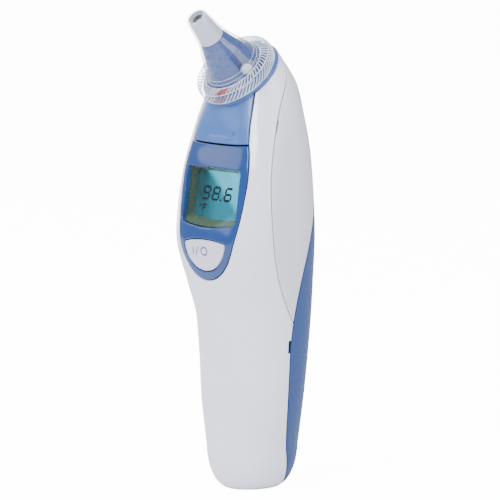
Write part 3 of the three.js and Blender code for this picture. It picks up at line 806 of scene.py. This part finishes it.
# The ribs and hoops take a high haze, near white: a painted highlight for the glints along the
# clear ribs.
RIB_FILM = clear("rib_film", (0.90, 0.94, 0.97), (0.90, 0.94, 1.0), 0.6, 0.10, grain=0.1)
PANE = clear("clear_window", (0.92, 0.98, 0.98), (0.1, 0.2, 0.2), 0.005, 0.05, grain=0.0,
             head_on=0.02)
LCD = lcd_look()
OLIVE = plastic("pale_green", (0.075, 0.107, 0.068), 0.5, grain=0.05, gleam=0.3)
DARK_GREY = plastic("dark_grey", (0.055, 0.055, 0.06), 0.5, grain=0.2, dust=0.1)
BLACK = plastic("black", (0.012, 0.012, 0.014), 0.45, grain=0.1)
BOARD = plastic("board", (0.012, 0.10, 0.05), 0.35, coat=0.4, grain=0.1, dust=0.2)
INK = plastic("ink", (0.006, 0.009, 0.014), 0.6, grain=0.02, gleam=0.05)
PRINT = plastic("print", (0.08, 0.11, 0.22), 0.45, grain=0.02)
RED = plastic("mark_red", (0.75, 0.10, 0.06), 0.4, grain=0.02)
DARK_RED = plastic("mark_dark", (0.09, 0.004, 0.006), 0.4, grain=0.02)
STEEL = metal("steel", (0.56, 0.57, 0.60), 0.3)
GOLD = metal("gold", (0.83, 0.60, 0.24), 0.25)
TUBE_PLATING = metal("tube_plating", (0.78, 0.87, 0.90), 0.20)
JACKET = plastic("cell_wrap", (0.012, 0.013, 0.016), 0.25, coat=0.6, grain=0.02)
COPPER = metal("cell_band", (0.75, 0.42, 0.24), 0.28)


# ---------------- shells

BODY_ROWS = np.linspace(0, 1, 168)
FOOT_ROWS = np.concatenate([[-1.3, -1.2, -1.1], np.linspace(-1, 0, 21)[:-1]])
CROWN_ROWS = np.linspace(1, 2, 4)[1:]
ALL_ROWS = np.concatenate([FOOT_ROWS, BODY_ROWS, CROWN_ROWS])


def rows_between(low, high):
    return BODY_ROWS[(BODY_ROWS >= low) & (BODY_ROWS <= high)]


def front_housing():
    shell = cut_shell(ALL_ROWS, [
        lambda p: -in_panel(p) - SEAM,
        lambda p: -in_hood(p) - SEAM,
        lambda p: -in_shield(p) - SEAM,
        lambda p: -in_notch(p),
    ], 0.3)
    bosses = []
    for x, z, tip in BOSSES:
        profile = rounded([(1.5, -7.1), (2.5, -7.1), (2.5, tip), (1.5, tip)], 0.3)
        points, faces = spun(profile, 32)
        bosses.append((points[:, [0, 2, 1]] + [x, 0, z], faces))
    make("front_shell", *joined(shell, *bosses), "casing", WHITE, "gloss_white",
         ["front_housing"])


def rear_housing():
    shell = cut_shell(np.concatenate([rows_between(0.18, 1), CROWN_ROWS]), [
        lambda p: in_hood(p) - SEAM,
        lambda p: -in_panel(p) - SEAM,
        lambda p: -in_pry_slot(p),
    ], 0.3)
    make("rear_shell", *shell, "casing", SATIN_WHITE, "satin_white", ["rear_housing"])


def rear_trim():
    shell = cut_shell(rows_between(0.5, 1), [
        lambda p: in_panel(p) - SEAM,
        lambda p: p[:, 2] - DOOR_TOP - 0.3,
        lambda p: -in_start(p) - 0.3,
    ], 0.3, wall=1.3)
    make("upper_back", *shell, "casing", SATIN_BLUE, "satin_blue", ["rear_trim"])


def battery_door():
    rows = ALL_ROWS[ALL_ROWS < 0.72]

    def grip(points):
        """Three shallow finger ridges near the top of the door."""
        lift = np.zeros(len(points))
        for z in (76.0, 78.6, 81.2):
            ridge = np.exp(-((points[:, 2] - z) / 0.5) ** 2)
            side = 1 / (1 + np.exp((np.abs(points[:, 0]) - 6.0) / 0.4))
            lift += 0.28 * ridge * side * (points[:, 1] > 6)
        return lift

    shell = cut_shell(rows, [
        lambda p: in_panel(p) - SEAM,
        lambda p: DOOR_TOP - p[:, 2],
        lambda p: p[:, 2] - DOOR_FOOT,
    ], 0.3, wall=1.3, rise=grip)
    toes = [rounded_box((x - 1.5, x + 1.5), (2.6, 7.5), (4.2, 6.0), 0.3) for x in (-3.5, 3.5)]
    make("battery_cover", *joined(shell, *toes), "battery_door", SATIN_BLUE, "satin_blue",
         ["battery_door"])


def display_bezel():
    shell = cut_shell(rows_between(0.33, 0.95), [
        lambda p: in_shield(p) - SEAM,
        lambda p: -above_split(p),
        lambda p: -in_window(p),
        lambda p: -in_button(p) - 0.3,
    ], 0.25, wall=1.45)
    make("display_panel", *shell, "casing", GLOSS_BLUE, "gloss_blue", ["display_bezel"])


def display_window():
    shell = cut_shell(rows_between(0.45, 0.85), [
        lambda p: in_window(p) - 0.06,
    ], 0.12, wall=1.2)
    make("window_pane", *shell, "casing", PANE, "clear_window", ["display_window"])


def button_dish(points):
    """The power button stands a little proud at its edge and dips towards its middle."""
    return 0.12 - 0.2 * np.clip(in_button(points) / 5, 0, 1) ** 2


def power_button():
    shell = cut_shell(rows_between(0.33, 0.6), [in_button], 0.45, wall=2.1, rise=button_dish)
    make("power_key", *shell, "power_button", KEY_WHITE, "gloss_white", ["power_button"])


def start_button():
    def dish(points):
        return -0.35 * np.clip(in_start(points) / 4, 0, 1)

    shell = cut_shell(rows_between(0.5, 0.9), [in_start], 0.5, wall=2.0, rise=dish)
    make("start_key", *shell, "start_button", GLOSS_BLUE, "gloss_blue", ["start_button"])


def ejector():
    collar = np.linspace(1, 2, len(COLLAR_CROWN))
    collar = np.unique(np.concatenate([collar, np.linspace(1, 1.34, 9)]))
    rows = np.concatenate([rows_between(0.8, 1), collar[1:]])
    parts = [
        lambda p: in_shield(p) - SEAM,
        lambda p: above_split(p) - 0.45,
    ]

    def region(points):
        apron = np.minimum(parts[0](points), parts[1](points))
        return np.maximum(apron, height_on_probe(points) + RIM_DROP - 0.3)

    def lip(points):
        """A low thumb rest across the foot of the apron."""
        near = np.exp(-((above_split(points) - 1.9) / 0.5) ** 2)
        side = 1 / (1 + np.exp((np.abs(points[:, 0]) - 4.0) / 0.5))
        return 0.3 * near * side * (points[:, 1] < -4)

    shell = cut_shell(rows, parts, 0.3, wall=1.2, crown=COLLAR_CROWN, join=region, rise=lip)
    make("ejector_collar", *shell, "ejector", EJECTOR_BLUE, "satin_blue", ["ejector"])


def ejector_mark():
    """A small arrowhead outline near the right foot of the apron, laid flush on its surface in a
    darker blue.
    """
    corners = [(6.3, 112.2), (7.6, 112.2), (7.0, 113.4)]
    shapes = []
    for a, b in zip(corners, corners[1:] + corners[:1]):
        shapes += strip(a, b, 0.2, 2)
    printed("ejector_arrow", shapes, "ejector", SATIN_BLUE, "satin_blue", flush)


# ---------------- display


def front_finder():
    """A function that finds the body's front y at x, z, and its normal there."""
    skin = Skin(BODY_ROWS)
    tree = BVHTree.FromPolygons([tuple(p) for p in skin.points()], skin.triangles.tolist())

    def find(x, z):
        place, normal, _, _ = tree.ray_cast(Vector((x, -40.0, z)), Vector((0, 1, 0)))
        return place[1], np.array(normal)

    return find


FRONT = front_finder()


def on_display(x, depth, height):
    """A point given by its place across, behind and up from the display's centre."""
    cos, sin = math.cos(DISPLAY_TILT), math.sin(DISPLAY_TILT)
    return DISPLAY_CENTRE + [x, depth * cos - height * sin, depth * sin + height * cos]


def display_frame():
    """The walls of the recess, which run from the window's outline in to the glass."""
    half_x, half_z = RECESS_HALF
    wall, foot_depth = 0.8, LCD_DEPTH - 0.15
    rings = [[], [], [], []]
    for x, z in WINDOW:
        rise = z - WINDOW_MIDDLE
        u, v = x / WINDOW_HALF[0], rise / WINDOW_HALF[1]
        y, _ = FRONT(x * 0.99, WINDOW_MIDDLE + rise * 0.99)
        rings[0].append([x * 0.985, y + 1.3, WINDOW_MIDDLE + rise * 0.985])
        rings[1].append(on_display(u * half_x, foot_depth, v * half_z))
        rings[2].append(on_display(u * (half_x + wall), foot_depth, v * (half_z + wall)))
        rings[3].append([x * 0.996, y + 1.32, WINDOW_MIDDLE + rise * 0.996])
    make("recess_walls", *bands(rings, True), "casing", OLIVE, "pale_green",
         ["display_frame"])


def lcd_cell():
    points, faces = rounded_box((-12.1, 12.1), (0, 1.3), (-8.1, 8.1), 0.15)
    points = np.array([on_display(x, LCD_DEPTH + y, z) for x, y, z in points])
    make("crystal_cell", points, faces, "casing", LCD, "lcd", ["lcd_glass"])


SEGMENTS = {
    "top": ((0, 1), (1, 1)),
    "middle": ((0, 0.5), (1, 0.5)),
    "bottom": ((0, 0), (1, 0)),
    "upper_left": ((0, 0.5), (0, 1)),
    "upper_right": ((1, 0.5), (1, 1)),
    "lower_left": ((0, 0), (0, 0.5)),
    "lower_right": ((1, 0), (1, 0.5)),
}
UNLIT = {"9": "lower_left", "8": None, "6": "upper_right"}


def bar(start, end, width, pointed=0.5):
    """A six-sided bar between two points in a plane."""
    start, end = np.array(start, float), np.array(end, float)
    ahead = (end - start) / np.linalg.norm(end - start)
    side = np.array([-ahead[1], ahead[0]]) * width / 2
    tip = ahead * width * pointed
    return [start, start + tip + side, end - tip + side, end, end - tip - side,
            start + tip - side]


def lcd_digits():
    """The reading 98.6 and its unit, as thin dark segments on the glass."""
    wide, high, stroke, slant = 3.45, 4.55, 0.72, 0.24
    foot = -1.75
    shapes = []
    for digit, left in (("9", -9.15), ("8", -4.8), ("6", 0.7)):
        for name, place in SEGMENTS.items():
            if name == UNLIT[digit]:
                continue
            ends = np.array(place, float)
            ahead = ends[1] - ends[0]
            ends = ends * [wide - stroke, high - stroke]
            ends += np.array([ahead, -ahead]) * 0.07
            shapes.append([
                (left + stroke / 2 + u + slant * v, foot + stroke / 2 + v)
                for u, v in bar(ends[0], ends[1], stroke)])
    shapes.append([(-0.5 + 0.4 * math.cos(a), foot + 0.35 + 0.38 * math.sin(a))
                   for a in np.arange(12) * math.pi / 6])
    for start, end in (((-8.1, -5.1), (-7.8, -3.2)), ((-7.8, -3.2), (-6.3, -3.2)),
                       ((-7.95, -4.15), (-6.8, -4.15))):
        shapes.append(bar(start, end, 0.5, 0.0))
    shapes += ring_strip(-9.1, -3.5, (0.5, 0.5), (0.2, 0.2), 8)
    ink = slabs(shapes, (LCD_DEPTH - 0.03, LCD_DEPTH - 0.005),
                lambda x, z, depth: on_display(x, depth, z))
    make("reading", *ink, "casing", INK, "black")


def flush(points):
    """No rise: the print lies on the body's own surface."""
    return np.zeros(len(points))


def printed(name, shapes, body, material, slot, rise):
    """Thin printed marks that follow the front of the body. Shapes are x, z outlines."""

    def place(x, z, layer):
        y, normal = FRONT(x, z)
        spot = np.array([x, y, z])
        return spot + normal * (layer + rise(spot[None, :])[0])

    make(name, *slabs(shapes, (0.02, -0.03), place), body, material, slot)


def strip(start, end, width, pieces=6):
    """A straight stroke as short quads, so that it follows a curved face."""
    start, end = np.array(start, float), np.array(end, float)
    ahead = (end - start) / np.linalg.norm(end - start)
    side = np.array([-ahead[1], ahead[0]]) * width / 2
    marks = np.linspace(0, 1, pieces + 1)
    quads = []
    for a, b in zip(marks, marks[1:]):
        p, q = start + (end - start) * a, start + (end - start) * b
        quads.append([p + side, q + side, q - side, p - side])
    return quads


def ring_strip(x, z, outer, inner, pieces=32):
    """A ring round x, z as short quads, between two ovals given by their half axes."""
    quads = []
    for i in range(pieces):
        a, b = (2 * math.pi * k / pieces for k in (i, i + 1))
        quads.append([(x + half[0] * math.cos(t), z + half[1] * math.sin(t))
                      for half, t in ((outer, a), (outer, b), (inner, b), (inner, a))])
    return quads


def button_print():
    """The line, slash and circle of the on and off key."""
    shapes = strip((-4.8, 74.7), (-4.8, 77.0), 0.45)
    shapes += strip((-3.7, 74.4), (-2.4, 77.2), 0.36)
    shapes += ring_strip(0.1, 75.8, (1.6, 1.45), (1.1, 0.95))
    printed("standby_symbol", shapes, "power_button", PRINT, "dark_grey", button_dish)


# ---------------- probe


def probe_cone():
    profile = rounded([
        (2.85, 13.6), (4.2, 13.6), (5.0, 11), (6.0, 8), (6.9, 5), (7.9, 1.8), (8.2, 1.0),
        (8.6, 1.0), (9.2, 0.4), (9.2, -8.6), (9.9, -8.6), (9.9, -10.2), (4.9, -10.2),
        (4.9, -0.6), (2.85, 0.2),
    ], 0.5)
    cone = make("probe_cone", *on_probe(spun(profile, 128)), "casing", CONE_BLUE,
                "satin_blue", ["probe_body"])
    hole = spun([(0.0, -12), (2.2, -12), (2.2, 8), (0.0, 8)], 40, closed=False)
    hole[0][:, :2] += PIN
    cut_away(cone, make("pin_hole", *on_probe(hole), None, CONE_BLUE, None))


def probe_sleeve():
    profile = rounded([(2.5, 13.9), (4.05, 13.9), (3.1, 22.3), (2.9, 23.5), (2.5, 23.5)], 0.35)
    make("probe_sleeve", *on_probe(spun(profile, 96)), "casing", MILKY, "milky_white",
         ["probe_tip"])
    tube_profile = rounded([(1.85, -0.4), (2.2, -0.4), (2.2, 22.6), (1.85, 22.6)], 0.1)
    make("guide_tube", *on_probe(spun(tube_profile, 64)), "casing", TUBE_PLATING,
         "gold", ["waveguide"])


def lens_filter():
    """The film over the cone, its flange, the slanted ribs and hoops, and two red marks."""
    outside = [(9.75, 1.3), (9.3, 1.7), (8.6, 3.4), (7.4, 6.9), (5.9, 10.6), (4.72, 14.0),
               (4.1, 18.6), (3.62, 22.6), (3.35, 23.6), (2.9, 24.05), (2.2, 24.2), (0.0, 24.2)]
    inside = [(0.0, 23.95), (2.2, 23.93), (2.8, 23.75), (3.15, 23.3), (3.4, 22.4),
              (3.9, 18.5), (4.5, 14.0), (5.65, 10.5), (7.15, 6.7), (8.35, 3.2), (9.1, 1.2)]
    cover = rounded(outside + inside, 0.25)
    make("filter_film", *on_probe(spun(cover, 128)), "lens_filter", FILM, "clear_film",
         ["lens_filter"])
    ring = rounded([(9.62, 0.5), (9.9, -0.75), (12.8, -0.75), (13.0, -0.95), (13.05, -2.0),
                    (13.25, -2.0), (13.25, 0.35), (12.7, 0.8), (9.8, 1.15), (9.4, 1.2)], 0.12)
    make("filter_ring", *on_probe(spun(ring, 144)), "lens_filter", RING_FILM, "clear_film")
    ribs = [rib(number) for number in range(RIBS) if number not in RED_RIBS]
    ribs += [hoop(9.9, 1.18, 0.14), hoop(12.72, 0.92, 0.14), hoop(13.2, -1.98, 0.14)]
    ribs += [hoop(8.72, 3.15, 0.06), hoop(9.2, 2.0, 0.06)]
    make("filter_ribs", *on_probe(joined(*ribs)), "lens_filter", RIB_FILM, "clear_film")
    marked = [rib(number, 0.12) for number in RED_RIBS]
    make("mark_red", *on_probe(joined(*marked)), "lens_filter", RED, "clear_film")
    ends = [polar(12.2, MARK_TURN, 1.2), polar(12.75, MARK_TURN - 0.02, 1.05)]
    make("mark_dark", *on_probe(tube(smooth_path(ends, 3), 0.42, 8)), "lens_filter", DARK_RED,
         "clear_film")


def rib(number, wire=0.16):
    """One slanted rib of the flange, across its face and down its skirt."""
    turn = 2 * math.pi * number / RIBS
    face = [polar(9.95, turn + 0.20, 1.05), polar(11.2, turn + 0.12, 1.12),
            polar(12.5, turn + 0.04, 1.02)]
    skirt = [polar(13.2, turn - 0.10, -1.95), polar(13.26, turn + 0.01, -0.65),
             polar(12.98, turn + 0.12, 0.62)]
    return joined(tube(smooth_path(face, 6), wire, 6), tube(smooth_path(skirt, 6), wire, 6))


def polar(radius, turn, height):
    return (radius * math.cos(turn), radius * math.sin(turn), height)


def smooth_path(points, count):
    return through(np.array(points, float), np.linspace(0, 1, count))


def hoop(radius, height, wire):
    """A thin ring round the probe's axis."""
    section = [(radius + wire * math.cos(a), height + wire * math.sin(a))
               for a in np.arange(8) * math.pi / 4]
    return spun(section, 144)


def detector_pin():
    """The pin that feels the filter, with a domed head."""
    dome = [(2.0 * math.cos(a), 0.85 + 2.0 * math.sin(a))
            for a in np.linspace(0, math.pi / 2, 11)]
    dome[-1] = (0.0, dome[-1][1])
    profile = [(0.0, -11.6), (0.8, -11.6), (0.9, -11.5), (0.9, -8.1), (1.6, -8.0),
               (1.7, -7.9), (1.7, -0.4), (2.0, -0.1)] + dome
    points, faces = spun(profile, 48, closed=False)
    points[:, :2] += PIN
    make("detector_pin", *on_probe((points, faces)), "filter_detector", MILKY, "milky_white",
         ["filter_detector"])


# ---------------- inside


def cells():
    """Two AA cells, one each way up, with a jacket and a coloured band, and their springs."""
    cell = rounded([
        (0.0, 0.0), (2.7, 0.0), (2.7, 1.1), (4.6, 1.2), (5.6, 1.1), (7.0, 1.3),
        (7.0, 49.9), (5.8, CELL_LENGTH), (5.6, 49.8), (0.0, 49.7),
    ], 0.4)
    band = rounded([(6.9, 36.5), (7.04, 36.5), (7.04, 49.2), (6.9, 49.2)], 0.03)
    for side, name in ((-1, "left"), (1, "right")):
        x, y = side * CELL_PLACE[0], CELL_PLACE[1]

        def standing(profile, sides):
            points, faces = spun(profile, sides)
            if side < 0:
                points[:, 2] = CELL_LENGTH - points[:, 2]
            return points + [x, y, CELL_FOOT], faces

        make(f"cell_{name}", *standing(cell, 64), "casing", JACKET, "cell_wrap",
             [f"battery_{name}"])
        make(f"cell_band_{name}", *standing(band, 96), "casing", COPPER, "cell_wrap")
        spring_foot = CELL_FOOT + 50.4 if side > 0 else CELL_FOOT - 4.3
        turns = np.linspace(0, 4 * 2 * math.pi, 160)
        wide = 4.2 - 0.9 * turns / turns[-1]
        path = np.stack([x + wide * np.cos(turns), y + wide * np.sin(turns),
                         spring_foot + 0.4 + 3.2 * turns / turns[-1]], 1)
        make(f"cell_spring_{name}", *tube(path, 0.35, 10), "casing", STEEL, "steel",
             [f"battery_spring_{name}"])


def screw_heads():
    """Pan heads with a cross recess, on plain shanks."""
    names = ["front_screw_lower", "front_screw_left", "front_screw_right",
             "rear_screw_left", "rear_screw_right"]
    screws = [(x, z, -5.3, 6.5, 1.2) for x, z, _ in BOSSES]
    screws += [(x, 93, 10.5, 7.5, 0.9) for x in (-9, 9)]
    for node, (x, z, seat, long, head) in zip(names, screws):
        profile = rounded([
            (0.0, seat - long), (0.9, seat - long), (1.2, seat - long + 0.5), (1.2, seat),
            (2.2, seat), (2.2, seat + head * 0.6), (1.5, seat + head), (0.0, seat + head),
        ], 0.25)
        points, faces = spun(profile, 48)
        obj = make(f"{node}_detailed", points[:, [0, 2, 1]] + [x, 0, z], faces, "casing",
                   STEEL, "steel", [node])
        top = seat + head
        for number, (wide, high, deep) in enumerate(((1.1, 0.25, 0.55), (0.25, 1.1, 0.5))):
            slot = rounded_box((x - wide, x + wide), (top - deep, top + 1),
                               (z - high, z + high), 0.05)
            cut_away(obj, make(f"{node}_cut_{number}", *slot, None, STEEL, None))


def dress_cad_nodes():
    """Finishes for the CAD nodes that keep their own shape, with softened edges."""
    looks = {
        DARK_GREY: ["chassis", "power_switch", "start_switch", "filter_switch"],
        BLACK: ["microcontroller", "amplifier_chip", "buzzer"],
        STEEL: ["crystal", "sensor_can", "sensor_holder", "ejector_spring",
                "battery_contact_left", "battery_contact_right"],
        GOLD: ["capacitor", "sensor_cable"],
        MILKY: ["light_guide"],
        BOARD: ["main_board"],
    }
    for material, names in looks.items():
        for name in names:
            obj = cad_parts[name]
            for place in obj.material_slots:
                place.material = material
            if name in ("sensor_cable", "ejector_spring"):
                continue
            bevel = obj.modifiers.new("softened edges", "BEVEL")
            bevel.width = 0.12 * MM
            bevel.segments = 2
            bevel.limit_method = "ANGLE"
            bevel.angle_limit = math.radians(50)


# ---------------- room, light, camera

AZIMUTH = math.radians(47)
ELEVATION = math.radians(6.86)
VIEW_HEIGHT = 0.15625
AIM = (-0.0014, 0.0739)
DISTANCE = 3.0
SENSOR = 36.0
FLOOR_GLOW = 13.0


def floor():
    """A plain pale floor. Its glow is seen by the camera only and lights nothing."""
    mesh = bpy.data.meshes.new("floor")
    size = 3.0
    mesh.from_pydata([(-size, -size, 0), (size, -size, 0), (size, size, 0), (-size, size, 0)],
                     [], [[0, 1, 2, 3]])
    look = Look("floor")
    shader = look.add("ShaderNodeBsdfPrincipled", {"Roughness": 0.9})
    look.link(look.mix_colour(look.noise(3.0), (0.86, 0.86, 0.87), (0.88, 0.88, 0.89)),
              shader.inputs["Base Color"])
    glow = look.add("ShaderNodeEmission")
    seen = look.add("ShaderNodeLightPath").outputs["Is Camera Ray"]
    look.link(look.ramp(seen, 0.0, FLOOR_GLOW, 0.0, 1.0), glow.inputs["Strength"])
    mesh.materials.append(look.finished(look.mixed("ShaderNodeAddShader", shader, glow)))
    obj = bpy.data.objects.new("floor", mesh)
    obj.location.z = -0.0002
    bpy.context.scene.collection.objects.link(obj)


def softbox(name, azimuth, elevation, distance, size_x, size_y, radiance, roll=0):
    """An area light that faces the object, at an azimuth and elevation in degrees."""
    light = bpy.data.lights.new(name, "AREA")
    light.shape = "RECTANGLE"
    light.size = size_x
    light.size_y = size_y
    light.energy = radiance * math.pi * size_x * size_y
    obj = bpy.data.objects.new(name, light)
    a, e = math.radians(azimuth), math.radians(elevation)
    away = Vector((math.sin(a) * math.cos(e), -math.cos(a) * math.cos(e), math.sin(e)))
    obj.location = Vector((0, 0, 0.08)) + away * distance
    turn = away.to_track_quat("Z", "Y").to_matrix() @ Matrix.Rotation(math.radians(roll), 3, "Z")
    obj.rotation_euler = turn.to_euler()
    bpy.context.scene.collection.objects.link(obj)


def light():
    """An even room with five soft boxes round the object."""
    world = bpy.data.worlds.new("room")
    world.use_nodes = True
    back = world.node_tree.nodes["Background"]
    back.inputs["Color"].default_value = (0.93, 0.95, 1.0, 1.0)
    back.inputs["Strength"].default_value = 0.65
    bpy.context.scene.world = world
    softbox("key", -43, 30, 0.9, 0.75, 0.6, 2.4, roll=-14)
    softbox("left", -100, 20, 1.0, 0.3, 0.9, 7.0)
    softbox("side", 105, 25, 1.0, 0.5, 0.9, 4.6)
    softbox("front", 18, 33, 1.2, 0.5, 0.5, 20.0)
    softbox("top", 40, 85, 0.9, 0.8, 0.8, 4.0)


def camera():
    """A long lens at the viewing angle, framed on the handle's axis."""
    data = bpy.data.cameras.new("camera")
    data.sensor_width = SENSOR
    data.lens = SENSOR * DISTANCE / VIEW_HEIGHT
    data.clip_end = 20
    obj = bpy.data.objects.new("camera", data)
    right = Vector((math.cos(AZIMUTH), math.sin(AZIMUTH), 0))
    away = Vector((math.sin(AZIMUTH) * math.cos(ELEVATION),
                   -math.cos(AZIMUTH) * math.cos(ELEVATION), math.sin(ELEVATION)))
    up = away.cross(right)
    obj.location = right * AIM[0] + up * AIM[1] + away * DISTANCE
    obj.rotation_euler = Matrix((right, up, away)).transposed().to_euler()
    bpy.context.scene.collection.objects.link(obj)
    bpy.context.scene.camera = obj


# ---------------- build

front_housing()
rear_housing()
rear_trim()
battery_door()
display_bezel()
display_window()
power_button()
start_button()
ejector()
ejector_mark()
display_frame()
lcd_cell()
lcd_digits()
button_print()
probe_cone()
probe_sleeve()
lens_filter()
detector_pin()
cells()
screw_heads()
dress_cad_nodes()
floor()
light()
camera()
